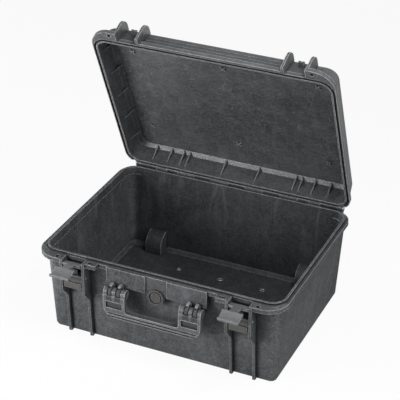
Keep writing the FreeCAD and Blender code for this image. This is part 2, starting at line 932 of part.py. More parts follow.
def make_handle():
    """Folding handle: grip with two grooves, two arms and three knuckles on each arm."""
    front = handle_y - handle_front_reach
    low = handle_z - handle_length
    grip_top = low + grip_height
    grip_back = front + grip_thickness
    arm_back = front + arm_thickness
    profile = [
        (front, low, grip_round),
        (front, handle_z - handle_knuckle_radius / 2.0, arm_round),
        (handle_y - handle_knuckle_radius / 2.0, handle_z, 0),
        (handle_y, handle_z, 0),
        (arm_back, handle_z - handle_knuckle_radius, arm_round),
        (arm_back, grip_top + arm_step, arm_round),
        (grip_back, grip_top, grip_round),
        (grip_back, low, grip_round),
    ]
    side = side_plate(profile, -handle_half, handle_half)
    top = handle_z + past

    def face(inset):
        """Front outline of the handle, moved inwards."""
        half = handle_half - inset
        radius = handle_corner_radius - inset
        return [(half, top, 0), (half, low + inset, radius), (-half, low + inset, radius), (-half, top, 0)]

    hole = [
        (handle_opening_half, top + past, 0),
        (handle_opening_half, grip_top, handle_inner_radius),
        (-handle_opening_half, grip_top, handle_inner_radius),
        (-handle_opening_half, top + past, 0),
    ]
    body = side.common(front_plate(face(0.0), front - past, handle_y + past))
    body = body.cut(front_plate(hole, front - past, handle_y + deep))
    knuckle = rod_x(handle_opening_half, handle_half, handle_y, handle_z, handle_knuckle_radius)
    body = body.multiFuse(both_sides(knuckle))

    cuts = []
    room = lug_width / 2.0 + lug_clearance
    for x in (lug_inner_x, lug_outer_x):
        cuts += both_sides(rod_x(x - room, x + room, handle_y, handle_z, handle_knuckle_radius + lug_clearance))
    pocket_high = handle_z - pocket_drop
    pocket_inner = handle_opening_half + pocket_inset
    pocket_outer = handle_half - pocket_inset
    pocket = block(
        pocket_inner, pocket_outer, front - past, front + pocket_depth, pocket_high - pocket_height, pocket_high
    )
    cuts += both_sides(pocket)
    grooved = front_plate(face(grip_groove_border), front - past, front + grip_groove_depth)
    lowest = low + (grip_height - grip_groove_pitch - grip_groove_height) / 2.0
    for z in (lowest, lowest + grip_groove_pitch):
        floor = front + grip_groove_depth
        strip = block(-handle_half, handle_half, front - past, floor, z, z + grip_groove_height)
        cuts.append(strip.common(grooved))
    cuts.append(rod_x(-deep, deep, handle_y, handle_z, handle_pin_radius + pin_fit))
    return body.cut(cuts).removeSplitter()


def make_handle_pin():
    """Steel pin of the right handle arm."""
    low = handle_opening_half + handle_pin_inset
    high = handle_half - handle_pin_inset
    return rod_x(low, high, handle_y, handle_z, handle_pin_radius)


def flap_section(start_y, start_z, x):
    """Section of the latch flap: a dished strip with a hooked edge, from the neck to the tip."""
    length = math.hypot(hook_flap_reach, hook_flap_drop)
    along_y = -hook_flap_reach / length
    along_z = -hook_flap_drop / length

    def point(along, lift):
        """Point a distance along the chord and a lift above it."""
        return Vector(x, start_y + along_y * along + along_z * lift, start_z + along_z * along - along_y * lift)

    half = length / 2.0
    low = hook_flap_sag + hook_plate
    upper = Part.Arc(point(0, 0), point(half, -hook_flap_sag), point(length, 0)).toShape()
    lower = Part.Arc(point(length, -hook_plate), point(half, -low), point(0, -hook_plate)).toShape()
    tip = Part.makeLine(point(length, 0), point(length, -hook_plate))
    neck = Part.makeLine(point(0, -hook_plate), point(0, 0))
    strip = Part.Face(Part.Wire([upper, tip, lower, neck]))
    lip_start = length - hook_lip_length
    lip_low = -hook_plate / 2.0
    corners = [
        point(length, lip_low),
        point(length, hook_lip_height),
        point(lip_start, hook_lip_height),
        point(lip_start, lip_low),
        point(length, lip_low),
    ]
    return [strip, Part.Face(Part.makePolygon(corners))]


def make_latch_hook():
    """Right latch hook, open: cross bar on its pin, narrow springy neck, dished flap with a hooked edge."""
    bar = rod_x(latch_x - hook_bar_half, latch_x + hook_bar_half, hook_y, hook_z, hook_barrel_radius)
    neck_y = hook_y - hook_neck_reach
    neck_z = hook_z + hook_neck_rise
    neck = [
        (hook_y, hook_z, 0),
        (hook_y, hook_z + hook_barrel_radius, 0),
        (neck_y, neck_z, 0),
        (neck_y, neck_z - hook_plate, 0),
        (hook_y - hook_barrel_radius, hook_z, 0),
    ]
    slope = (hook_neck_rise - hook_barrel_radius) / hook_neck_reach
    bar_top = hook_z + hook_barrel_radius
    back_y = hook_y + hook_bar_back
    front_y = hook_y - hook_bar_front
    back_z = bar_top - slope * hook_bar_back
    front_z = bar_top + slope * hook_bar_front
    cross = [
        (back_y, back_z, 0),
        (front_y, front_z, 0),
        (front_y, front_z - hook_plate, 0),
        (back_y, back_z - hook_plate, 0),
    ]
    heel_y = hook_y + hook_heel_reach
    heel = [
        (hook_y, hook_z - hook_heel / 2.0, 0),
        (heel_y, hook_z - hook_heel / 2.0, hook_heel_round),
        (heel_y, hook_z + hook_heel / 2.0, hook_heel_round),
        (hook_y, hook_z + hook_heel / 2.0, 0),
    ]
    pieces = [side_plate(cross, latch_x - hook_bar_half, latch_x + hook_bar_half)]
    for profile in (neck, heel):
        pieces.append(side_plate(profile, latch_x - hook_neck_half, latch_x + hook_neck_half))
    for face in flap_section(neck_y, neck_z, latch_x - hook_flap_half):
        pieces.append(face.extrude(Vector(2.0 * hook_flap_half, 0, 0)))
    hole = rod_x(latch_x - deep, latch_x + deep, hook_y, hook_z, latch_pin_radius + pin_fit)
    return bar.multiFuse(pieces).cut(hole).removeSplitter()


def make_latch_lock():
    """Right latch lock: rocker on a pin in the bay, with a finger block below and a stop arm above."""
    barrel = rod_x(latch_x - lock_half, latch_x + lock_half, lock_y, lock_z, lock_barrel_radius)
    block_top = lock_z - lock_block_drop
    block_low = block_top - lock_block_height
    front = lock_y - lock_block_reach
    pad = [
        (lock_y + lock_back, lock_z, 0),
        (lock_y - lock_barrel_radius, lock_z, 0),
        (lock_y - lock_barrel_radius, block_top, 0),
        (front, block_top, lock_edge_round),
        (front, block_low, lock_edge_round),
        (front + lock_block_thickness, block_low, lock_edge_round),
        (lock_y + lock_back, block_top, lock_edge_round),
    ]
    arm_top = lock_z + lock_arm_height
    arm = [
        (lock_y, lock_z, 0),
        (lock_y + lock_arm_thickness, lock_z, 0),
        (lock_y + lock_arm_thickness, arm_top, lock_edge_round),
        (lock_y, arm_top, lock_edge_round),
    ]
    rocker = barrel.multiFuse(
        [
            side_plate(pad, latch_x - lock_half, latch_x + lock_half),
            side_plate(arm, latch_x - hook_neck_half, latch_x + hook_neck_half),
        ]
    )
    hole = rod_x(latch_x - deep, latch_x + deep, lock_y, lock_z, latch_pin_radius + pin_fit)
    return rocker.cut(hole).removeSplitter()


def make_latch_pin(y, z):
    """Steel pin across the right latch bay, from cheek to cheek."""
    return rod_x(bay_inner - cheek_thickness, bay_outer + cheek_thickness, y, z, latch_pin_radius)


def make_valve():
    """Pressure valve: body with ring and stem, cap, membrane, O-ring and the nut inside the case."""
    ring_front = boss_face - valve_ring_thickness
    dish_floor = ring_front + valve_dish_depth
    nut_face = pad_face()
    stem_end = nut_face + valve_nut_thickness + valve_stem_spare
    ring = rod_y(ring_front, boss_face, 0, valve_z, valve_ring_radius)
    stem = rod_y(boss_face, stem_end, 0, valve_z, valve_stem_radius)
    dish = rod_y(ring_front - past, dish_floor, 0, valve_z, valve_dish_radius)
    bore = rod_y(ring_front, stem_end + past, 0, valve_z, valve_bore_radius)
    body = ring.fuse(stem).cut([dish, bore])

    foot_y = dish_floor - valve_cap_foot
    disc = rod_y(foot_y - valve_cap_thickness, foot_y, 0, valve_z, valve_cap_radius)
    foot = rod_y(foot_y, dish_floor, 0, valve_z, valve_cap_radius)
    foot = foot.cut(rod_y(foot_y, dish_floor, 0, valve_z, valve_cap_radius - valve_cap_foot_width))
    cap = disc.fuse(foot).removeSplitter()

    membrane = rod_y(dish_floor - valve_membrane_thickness, dish_floor, 0, valve_z, valve_membrane_radius)

    thick = o_ring_thickness / 2.0
    ring_centre = Vector(0, boss_face + o_ring_fit + thick, valve_z)
    o_ring = Part.makeTorus(o_ring_radius, thick, ring_centre, Vector(0, 1, 0))

    corner = valve_nut_flats / math.sqrt(3.0)
    hexagon = []
    for i in range(6):
        angle = math.radians(60.0 * i)
        hexagon.append((corner * math.cos(angle), valve_z + corner * math.sin(angle), 0))
    nut = front_plate(hexagon, nut_face, nut_face + valve_nut_thickness)
    nut = nut.cut(rod_y(-deep, 0, 0, valve_z, valve_stem_radius + valve_stem_fit))
    return {
        "valve_body": body,
        "valve_cap": cap,
        "valve_membrane": membrane,
        "valve_o_ring": o_ring,
        "valve_nut": nut,
    }


def build():
    """All pieces by node name."""
    pieces = {
        "base_shell": make_base_shell(),
        "lid_shell": make_lid_shell(),
        "lid_seal": make_lid_seal(),
        "hinge_pin": make_hinge_pin(),
        "handle": make_handle(),
    }
    right_pieces = {
        "handle_pin": make_handle_pin(),
        "latch_hook": make_latch_hook(),
        "latch_lock": make_latch_lock(),
        "latch_hook_pin": make_latch_pin(hook_y, hook_z),
        "latch_lock_pin": make_latch_pin(lock_y, lock_z),
    }
    for name, shape in right_pieces.items():
        pieces[name + "_right"] = shape
        pieces[name + "_left"] = mirrored(shape)
    pieces.update(make_valve())
    return pieces


os.makedirs("parts", exist_ok=True)
for node, shape in build().items():
    solid = shape.Solids[0]
    print(node, "solids", len(shape.Solids), "valid", solid.isValid(), "volume", round(solid.Volume))
    solid.exportStep("parts/" + node + ".step")
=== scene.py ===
import math

import bmesh
import bpy
from mathutils import Matrix, Vector


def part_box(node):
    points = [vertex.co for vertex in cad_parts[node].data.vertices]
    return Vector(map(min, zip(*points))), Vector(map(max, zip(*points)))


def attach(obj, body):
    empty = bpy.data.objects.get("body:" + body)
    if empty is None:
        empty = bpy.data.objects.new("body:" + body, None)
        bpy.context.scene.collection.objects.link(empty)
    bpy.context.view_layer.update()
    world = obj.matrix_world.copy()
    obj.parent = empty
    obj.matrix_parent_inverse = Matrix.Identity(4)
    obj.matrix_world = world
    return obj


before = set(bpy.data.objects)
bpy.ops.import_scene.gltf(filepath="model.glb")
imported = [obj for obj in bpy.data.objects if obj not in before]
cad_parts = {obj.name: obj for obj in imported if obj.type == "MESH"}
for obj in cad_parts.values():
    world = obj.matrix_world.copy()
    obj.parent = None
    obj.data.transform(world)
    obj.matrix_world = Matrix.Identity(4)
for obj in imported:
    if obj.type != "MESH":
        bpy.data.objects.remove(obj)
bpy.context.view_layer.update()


# Places on the case, in metres. Those of lugs, knuckles, latches and corners hold for both sides.

base_middle = (0.0, 0.0, 0.15)
lid_middle = (0.0, 0.133, 0.3725)
rim_low = 0.168
wash_low, wash_high = 0.07, 0.17
corner_start, corner_end = (0.224, 0.161), (0.238, 0.175)

lug_places = (0.0707, 0.0884)
lug_low = 0.128
knuckle_gaps = (0.0663, 0.0751, 0.084, 0.0928)
knuckle_gap_half = 0.0018
knuckle_low, knuckle_high = 0.1235, 0.1485
knuckle_fade = 0.002
knuckle_back = -0.2

slot_half = 0.0044
slot_low = 0.124
handle_skin = -0.2172
pocket_fade = 0.003
grip_grooves = (0.0888, 0.0952)
grip_groove_half = 0.0021
grip_front = -0.2142
grip_half = 0.094

latch_x = 0.172
bay_half = 0.0215
bay_low, bay_high = 0.138, 0.174
bay_back = -0.17
lock_block_top = 0.138

floor_top = 0.004
stud_pitch = 0.0958
stud_y = 0.111

# Sizes of the small pieces, in metres. The profile of a pin end is in shares of the pin's radius, and that of
# a stud cap in shares of the stud's radius and height.

pin_profile = ((0.94, -0.1), (0.94, 0.04), (0.8, 0.16), (0.5, 0.26), (0.0, 0.3))
pin_steps = 24
stud_radius = 0.005
stud_height = 0.0032
stud_profile = ((1.35, -0.1), (1.3, 0.06), (1.06, 0.08), (1.03, 0.8), (0.9, 1.1), (0.6, 1.3), (0.0, 1.38))
stud_steps = 32
tab_half = 0.0028
tab_round = 0.0007
tab_profile = (
    (-0.2094, 0.1496), (-0.209, 0.1512), (-0.206, 0.1527), (-0.2025, 0.1534), (-0.1985, 0.1536),
    (-0.1985, 0.1468), (-0.2028, 0.1491), (-0.2062, 0.1497),
)
merge_distance = 1e-6

# Colours. Those of a moulded plastic are dark, light, scuffed and worn; the worn one also paints edge
# highlights.

# Near black, used for dark flecks and for all painted shade in gaps, hollows, bays and on inner faces.
grime_and_shade = (0.01, 0.01, 0.011)
shell_colours = ((0.042, 0.044, 0.047), (0.072, 0.076, 0.08), (0.17, 0.175, 0.18), (0.5, 0.51, 0.52))
handle_colours = ((0.05, 0.052, 0.054), (0.066, 0.068, 0.071), (0.15, 0.155, 0.16), (0.55, 0.56, 0.57))
latch_colours = ((0.105, 0.107, 0.11), (0.13, 0.132, 0.135), (0.2, 0.202, 0.205), (0.42, 0.42, 0.43))
lock_colours = ((0.045, 0.0435, 0.042), (0.056, 0.054, 0.052), (0.09, 0.088, 0.085), (0.34, 0.335, 0.325))
ring_colours = ((0.028, 0.029, 0.03), (0.036, 0.037, 0.039), (0.1, 0.1, 0.105), (0.5, 0.51, 0.52))
stud_colours = ((0.035, 0.036, 0.037), (0.05, 0.051, 0.053), (0.12, 0.122, 0.125), (0.75, 0.76, 0.77))
tab_colours = ((0.16, 0.162, 0.165), (0.2, 0.202, 0.206), (0.28, 0.282, 0.286), (0.6, 0.61, 0.62))
valve_colours = ((0.036, 0.033, 0.03), (0.046, 0.042, 0.038), (0.09, 0.085, 0.08), (0.42, 0.41, 0.4))
rubber_dark, rubber_light = (0.012, 0.012, 0.012), (0.024, 0.024, 0.025)
steel_dark, steel_light = (0.42, 0.42, 0.43), (0.56, 0.56, 0.57)
film_dark, film_light = (0.62, 0.62, 0.6), (0.78, 0.78, 0.76)
white = (1.0, 1.0, 1.0, 1.0)
floor_colour = (0.9, 0.9, 0.9, 1.0)
room_colour = (0.97, 0.985, 1.0, 1.0)

# Limits of edges, gaps and inner faces in the finishes

edge_samples = 6
flat_agreement = 0.995
edge_polish = 0.12
gap_samples = 8
near_gap, far_gap = 0.008, 0.035
inward_fade = 0.01
front_facing = -0.8
band_core = 0.6

# Floor, light and camera, with angles in degrees and lengths in metres, but the sensor in millimetres

floor_size = 9.0
floor_glow = 0.92
room_light = 0.06
lamp_aim = (0.0, 0.0, 0.2)

camera_aim = (0.0, 0.0, 0.15)
camera_azimuth, camera_elevation, camera_roll = 24.02, 29.63, -0.52
camera_distance = 2.89924
camera_right, camera_up = 0.00145, 0.0877
sensor_width = 36.0
focal_pixels, frame_pixels = 1465.75, 400.0


# Node helpers

def new_material(name):
    """Empty node material with one shader joined to its output."""
    material = bpy.data.materials.new(name)
    material.use_nodes = True
    tree = material.node_tree
    tree.nodes.clear()
    output = tree.nodes.new("ShaderNodeOutputMaterial")
    shader = tree.nodes.new("ShaderNodeBsdfPrincipled")
    tree.links.new(shader.outputs["BSDF"], output.inputs["Surface"])
    return material, tree, shader


def object_place(tree, stretch=(1.0, 1.0, 1.0), turn=(0.0, 0.0, 0.0)):
    """Object coordinates, stretched and turned."""
    place = tree.nodes.new("ShaderNodeTexCoord")
    mapping = tree.nodes.new("ShaderNodeMapping")
    mapping.inputs["Scale"].default_value = stretch
    mapping.inputs["Rotation"].default_value = turn
    tree.links.new(place.outputs["Object"], mapping.inputs["Vector"])
    return mapping.outputs["Vector"]


def parts_of_place(tree, kind="Object"):
    """Object coordinates, or the direction that a face looks in, as three values."""
    coordinates = tree.nodes.new("ShaderNodeTexCoord")
    parts = tree.nodes.new("ShaderNodeSeparateXYZ")
    tree.links.new(coordinates.outputs[kind], parts.inputs["Vector"])
    return parts.outputs["X"], parts.outputs["Y"], parts.outputs["Z"]


def noise(tree, place, scale, detail, rough, twist=0.0):
    """Noise value over a place."""
    node = tree.nodes.new("ShaderNodeTexNoise")
    node.inputs["Scale"].default_value = scale
    node.inputs["Detail"].default_value = detail
    node.inputs["Roughness"].default_value = rough
    node.inputs["Distortion"].default_value = twist
    tree.links.new(place, node.inputs["Vector"])
    return node.outputs["Fac"]


def band(tree, value, low, high, bottom=0.0, top=1.0):
    """Value mapped from one range to another and held inside it."""
    node = tree.nodes.new("ShaderNodeMapRange")
    node.clamp = True
    node.inputs["From Min"].default_value = low
    node.inputs["From Max"].default_value = high
    node.inputs["To Min"].default_value = bottom
    node.inputs["To Max"].default_value = top
    tree.links.new(value, node.inputs["Value"])
    return node.outputs["Result"]


def above(tree, value, start, fade, top=1.0):
    """Share that rises from 0 to its top as a value climbs past a start."""
    return band(tree, value, start, start + fade, top=top)


def below(tree, value, start, fade, top=1.0):
    """Share that rises from 0 to its top as a value drops past a start."""
    return band(tree, value, start, start - fade, top=top)


def falling(tree, share, rest):
    """Value that falls from 1 to a rest as a share rises from 0 to 1."""
    return band(tree, share, 0.0, 1.0, 1.0, rest)


def maths(tree, kind, first, second):
    """One maths step between two values, each a socket or a number."""
    node = tree.nodes.new("ShaderNodeMath")
    node.operation = kind
    for i, value in enumerate((first, second)):
        if isinstance(value, (int, float)):
            node.inputs[i].default_value = value
        else:
            tree.links.new(value, node.inputs[i])
    return node.outputs["Value"]


def product(tree, first, *others):
    """Product of several values, each a socket or a number."""
    for value in others:
        first = maths(tree, "MULTIPLY", first, value)
    return first


def strongest(tree, first, *others):
    """Largest of several values."""
    for value in others:
        first = maths(tree, "MAXIMUM", first, value)
    return first


def unsigned(tree, value):
    """Value without its sign, so that left and right are alike."""
    return maths(tree, "ABSOLUTE", value, 0.0)


def bands_at(tree, value, places, half_width):
    """Share of 1 on narrow bands where a value is near one of some places."""
    nearest = None
    for place in places:
        distance = unsigned(tree, maths(tree, "SUBTRACT", value, place))
        nearest = distance if nearest is None else maths(tree, "MINIMUM", nearest, distance)
    return band(tree, nearest, half_width, band_core * half_width)


def blend(tree, share, first, second):
    """Colour between two colours, each a socket or an RGB tuple."""
    node = tree.nodes.new("ShaderNodeMix")
    node.data_type = "RGBA"
    tree.links.new(share, node.inputs["Factor"])
    sockets = [s for s in node.inputs if s.type == "RGBA"]
    for socket, value in zip(sockets, (first, second)):
        if isinstance(value, tuple):
            socket.default_value = value + (1.0,)
        else:
            tree.links.new(value, socket)
    return [s for s in node.outputs if s.type == "RGBA"][0]


def rounded_normal(tree, radius):
    """Normal of the surface with its edges softly rounded."""
    rounded = tree.nodes.new("ShaderNodeBevel")
    rounded.samples = edge_samples
    rounded.inputs["Radius"].default_value = radius
    return rounded.outputs["Normal"]


def dot(tree, first, second):
    """Dot product of two directions."""
    node = tree.nodes.new("ShaderNodeVectorMath")
    node.operation = "DOT_PRODUCT"
    tree.links.new(first, node.inputs[0])
    tree.links.new(second, node.inputs[1])
    return node.outputs["Value"]


def edge_share(tree, radius, sharp):
    """Share that rises towards 1 along edges, from the difference of rounded and plain normals."""
    plain = tree.nodes.new("ShaderNodeNewGeometry")
    agreement = dot(tree, rounded_normal(tree, radius), plain.outputs["Normal"])
    return band(tree, agreement, flat_agreement, sharp)


def inward_share(tree, middle):
    """Share of 1 on faces that look towards a middle point, such as the inner walls of a box."""
    place = tree.nodes.new("ShaderNodeTexCoord")
    offset = tree.nodes.new("ShaderNodeVectorMath")
    offset.operation = "SUBTRACT"
    offset.inputs[1].default_value = middle
    tree.links.new(place.outputs["Object"], offset.inputs[0])
    outward = dot(tree, offset.outputs["Vector"], place.outputs["Normal"])
    return band(tree, outward, inward_fade, -inward_fade)


def openness(tree, distance):
    """Light that reaches a point from nearby, low in gaps and inner corners and 1 on free faces and edges."""
    node = tree.nodes.new("ShaderNodeAmbientOcclusion")
    node.samples = gap_samples
    node.only_local = True
    node.inputs["Distance"].default_value = distance
    return node.outputs["AO"]


def bump(tree, heights, shader, radius):
    """Bump from (height, strength, distance) layers over softly rounded edges."""
    normal = rounded_normal(tree, radius)
    for height, strength, distance in heights:
        node = tree.nodes.new("ShaderNodeBump")
        node.inputs["Strength"].default_value = strength
        node.inputs["Distance"].default_value = distance
        tree.links.new(height, node.inputs["Height"])
        tree.links.new(normal, node.inputs["Normal"])
        normal = node.outputs["Normal"]
    tree.links.new(normal, shader.inputs["Normal"])


# Painted shade, and paler tones of wear and painted highlight, at places on the case

def knuckle_shade(tree):
    """Painted shade in the gaps between the handle's knuckles and the lugs that carry it."""
    x, y, z = parts_of_place(tree)
    gaps = bands_at(tree, unsigned(tree, x), knuckle_gaps, knuckle_gap_half)
    front = below(tree, y, knuckle_back, fade=0.001)
    low = above(tree, z, knuckle_low - knuckle_fade, knuckle_fade)
    high = below(tree, z, knuckle_high, knuckle_fade)
    return product(tree, gaps, front, low, high)


def handle_shade(tree):
    """Painted shade in the grip's two long grooves, in the handle's pockets and slots, and between the
    knuckles.
    """
    x, y, z = parts_of_place(tree)
    across = unsigned(tree, x)
    grooves = product(
        tree, bands_at(tree, z, grip_grooves, grip_groove_half), below(tree, y, grip_front, fade=0.001),
        below(tree, across, grip_half, fade=0.004),
    )
    facing = below(tree, parts_of_place(tree, "Normal")[1], front_facing, fade=0.15)
    pockets = product(
        tree, facing, above(tree, y, handle_skin, fade=0.0008, top=0.7),
        below(tree, z, knuckle_low + pocket_fade, pocket_fade),
    )
    slots = bands_at(tree, across, lug_places, slot_half)
    slots = product(tree, slots, above(tree, z, slot_low, fade=0.001, top=0.92))
    return strongest(tree, grooves, slots, pockets, knuckle_shade(tree))


def lug_share(tree):
    """Share of 1 on the rounded fronts of the handle lugs, where most painted gap shade is taken off."""
    x, y, z = parts_of_place(tree)
    lugs = bands_at(tree, unsigned(tree, x), lug_places, slot_half)
    return product(tree, lugs, below(tree, y, knuckle_back, fade=0.003), above(tree, z, lug_low, fade=0.002))


def lock_shade(tree):
    """Shade on the part of the lock that lies deep in the bay, above its finger block."""
    return above(tree, parts_of_place(tree)[2], lock_block_top, fade=0.006, top=0.9)


def bay_shade(tree):
    """Painted shade deep in the two latch bays, and between the knuckles of the handle."""
    x, y, z = parts_of_place(tree)
    across = unsigned(tree, maths(tree, "SUBTRACT", unsigned(tree, x), latch_x))
    bays = product(
        tree, below(tree, across, bay_half, fade=0.003), above(tree, z, bay_low, fade=0.008, top=0.85),
        below(tree, z, bay_high, fade=0.002), below(tree, y, bay_back, fade=0.006),
    )
    return strongest(tree, bays, knuckle_shade(tree))


def wall_share(tree):
    """Share of 1 on the walls below the rim, where the paler edges of wear and painted highlight are toned
    down.
    """
    return below(tree, parts_of_place(tree)[2], rim_low, fade=0.003)


def corner_rub_and_highlight(tree):
    """Share towards 1 on the upright corners, for a paler tone partly of rubbing and partly painted highlight.
    """
    x, y = parts_of_place(tree)[:2]
    across = band(tree, unsigned(tree, x), corner_start[0], corner_end[0])
    along = band(tree, unsigned(tree, y), corner_start[1], corner_end[1])
    return product(tree, across, along)


# Finishes

def cloudy_colour(tree, patterns, colours, grain):
    """Colour of a moulded plastic from its clouds, with each finer pattern scuffed in some places and dim in
    others."""
    clouds, streaks, drips, mottle, speckle = patterns
    dark, light, scuffed = colours[:3]
    layers = (
        (streaks, (0.5, 0.66, 1.0), (0.46, 0.34, 1.0), dark),
        (drips, (0.52, 0.66, 0.9), (0.46, 0.36, 0.9), dark),
        (mottle, (0.5, 0.66, 0.8), (0.47, 0.34, 1.0), grime_and_shade),
        (speckle, (0.5, 0.64, 1.0), (0.48, 0.36, 1.0), grime_and_shade),
    )
    colour = blend(tree, band(tree, clouds, 0.36, 0.64), dark, light)
    for pattern, pale, dim, dim_colour in layers:
        for (low, high, strength), layer_colour in ((pale, scuffed), (dim, dim_colour)):
            share = band(tree, pattern, low, high, top=strength * grain)
            colour = blend(tree, share, colour, layer_colour)
    return colour


def inner_shade_and_streaks(tree, colour, inward, drips, shade_depth, washed_colour):
    """Painted shade on the inner faces, less on the left and right walls, with washed streaks above the floor.
    """
    sideways = unsigned(tree, parts_of_place(tree, "Normal")[0])
    unlit = product(tree, inward, band(tree, sideways, 0.3, 0.9, shade_depth, 0.0))
    colour = blend(tree, unlit, colour, grime_and_shade)
    higher = band(tree, parts_of_place(tree)[2], wash_low, wash_high)
    washed = product(tree, band(tree, drips, 0.54, 0.68, top=0.3), inward, higher)
    return blend(tree, washed, colour, washed_colour)


def moulded_plastic(
    name, colours, roughness, grain, shine, edge=0.0022, wear_and_highlight=1.0, sharp=0.84, deep_shade=0.3,
    middle=None, inner_roughness=None, inner_painted_shade=None,
    shade=None, rubbed_and_highlit=None, calm=None, unshaded=None,
):
    """Moulded polypropylene: cloudy colour, flow streaks, spark-eroded grain, painted shade in gaps, hollows
    and on inner faces, and paler edges that are partly wear and partly painted highlight. Faces that look
    towards a given middle point have a roughness of their own. The shares given last paint shade on some
    places, paint a paler tone of rubbing and highlight on others, calm the paler edges on some, and take most
    painted gap shade off others."""
    scuffed, worn_and_highlit = colours[2:]
    material, tree, shader = new_material(name)
    place = object_place(tree)
    slanted = object_place(tree, stretch=(1.0, 7.0, 1.8), turn=(0.5, 0.7, 0.4))
    upright = object_place(tree, stretch=(1.0, 1.0, 0.2))
    clouds = noise(tree, place, scale=6.5, detail=5.0, rough=0.6, twist=0.8)
    streaks = noise(tree, slanted, scale=38.0, detail=7.0, rough=0.75, twist=1.8)
    drips = noise(tree, upright, scale=36.0, detail=6.0, rough=0.7, twist=0.8)
    mottle = noise(tree, place, scale=62.0, detail=5.0, rough=0.65, twist=1.2)
    speckle = noise(tree, place, scale=300.0, detail=3.0, rough=0.65)
    pits = noise(tree, place, scale=900.0, detail=2.0, rough=0.55)
    inward = inward_share(tree, middle) if middle else None

    colour = cloudy_colour(tree, (clouds, streaks, drips, mottle, speckle), colours, grain)
    # Painted shade on the inner faces.
    if inner_painted_shade:
        colour = inner_shade_and_streaks(tree, colour, inward, drips, inner_painted_shade, scuffed)
    # Paler tone on the places that a share picks out, partly rubbing and partly painted highlight.
    if rubbed_and_highlit:
        share = product(tree, rubbed_and_highlit(tree), band(tree, speckle, 0.4, 0.6, 0.1, 0.75))
        colour = blend(tree, share, colour, scuffed)

    # Painted shade, darkest where little light reaches from nearby or from further off, and weaker on inner
    # faces.
    light_near = openness(tree, near_gap)
    light_far = openness(tree, far_gap)
    far_shade = band(tree, light_far, 0.78, 0.42, top=deep_shade)
    near_shade = band(tree, light_near, 0.84, 0.5, top=0.95)
    if middle:
        far_shade = product(tree, far_shade, falling(tree, inward, rest=0.3))
        near_shade = product(tree, near_shade, falling(tree, inward, rest=0.45))
    crevice_shade = strongest(tree, far_shade, near_shade)
    # Most painted gap shade is taken off the places that a share picks out.
    if unshaded:
        crevice_shade = product(tree, crevice_shade, falling(tree, unshaded(tree), rest=0.15))
    colour = blend(tree, crevice_shade, colour, grime_and_shade)

    # Paler edges, partly wear and partly painted highlight.
    edges = product(tree, edge_share(tree, edge, sharp), band(tree, light_near, 0.66, 0.86))
    pale_edges = product(tree, edges, band(tree, speckle, 0.35, 0.62, 0.45 * wear_and_highlight, wear_and_highlight))
    if calm:
        outer = product(tree, calm(tree), maths(tree, "SUBTRACT", 1.0, inward))
        pale_edges = product(tree, pale_edges, falling(tree, outer, rest=0.4))
    colour = blend(tree, pale_edges, colour, worn_and_highlit)
    # Painted shade on the places that a shade share picks out.
    if shade:
        colour = blend(tree, shade(tree), colour, grime_and_shade)
    tree.links.new(colour, shader.inputs["Base Color"])

    rough = band(tree, streaks, 0.3, 0.75, roughness + 0.08, roughness - 0.1)
    if middle:
        rough = maths(tree, "SUBTRACT", rough, product(tree, inward, roughness - inner_roughness))
    rough = maths(tree, "SUBTRACT", rough, product(tree, edges, edge_polish))
    tree.links.new(rough, shader.inputs["Roughness"])
    shader.inputs["Specular IOR Level"].default_value = shine
    bump(tree, ((speckle, 0.7, 0.0014), (pits, 0.4, 0.0004)), shader, radius=0.0009)
    return material


def rubber(name):
    """Matt black rubber with a faint bloom."""
    material, tree, shader = new_material(name)
    place = object_place(tree)
    bloom = noise(tree, place, scale=60.0, detail=4.0, rough=0.6)
    fine = noise(tree, place, scale=700.0, detail=2.0, rough=0.5)
    colour = blend(tree, band(tree, bloom, 0.35, 0.75), rubber_dark, rubber_light)
    tree.links.new(colour, shader.inputs["Base Color"])
    tree.links.new(band(tree, bloom, 0.3, 0.7, 0.7, 0.86), shader.inputs["Roughness"])
    bump(tree, ((fine, 0.2, 0.0003),), shader, radius=0.0004)
    return material


def drawn_steel(name):
    """Drawn steel rod with fine lines along its length."""
    material, tree, shader = new_material(name)
    lines = noise(tree, object_place(tree, stretch=(6.0, 900.0, 900.0)), scale=1.0, detail=3.0, rough=0.6)
    cloud = noise(tree, object_place(tree), scale=90.0, detail=3.0, rough=0.6)
    colour = blend(tree, band(tree, cloud, 0.35, 0.7), steel_dark, steel_light)
    tree.links.new(colour, shader.inputs["Base Color"])
    tree.links.new(band(tree, lines, 0.3, 0.7, 0.26, 0.42), shader.inputs["Roughness"])
    shader.inputs["Metallic"].default_value = 1.0
    bump(tree, ((lines, 0.12, 0.0001),), shader, radius=0.0003)
    return material


def porous_film(name):
    """Pale porous film."""
    material, tree, shader = new_material(name)
    pores = noise(tree, object_place(tree), scale=2600.0, detail=2.0, rough=0.5)
    colour = blend(tree, band(tree, pores, 0.4, 0.7), film_dark, film_light)
    tree.links.new(colour, shader.inputs["Base Color"])
    tree.links.new(band(tree, pores, 0.3, 0.7, 0.6, 0.8), shader.inputs["Roughness"])
    bump(tree, ((pores, 0.3, 0.0001),), shader, radius=0.0002)
    return material


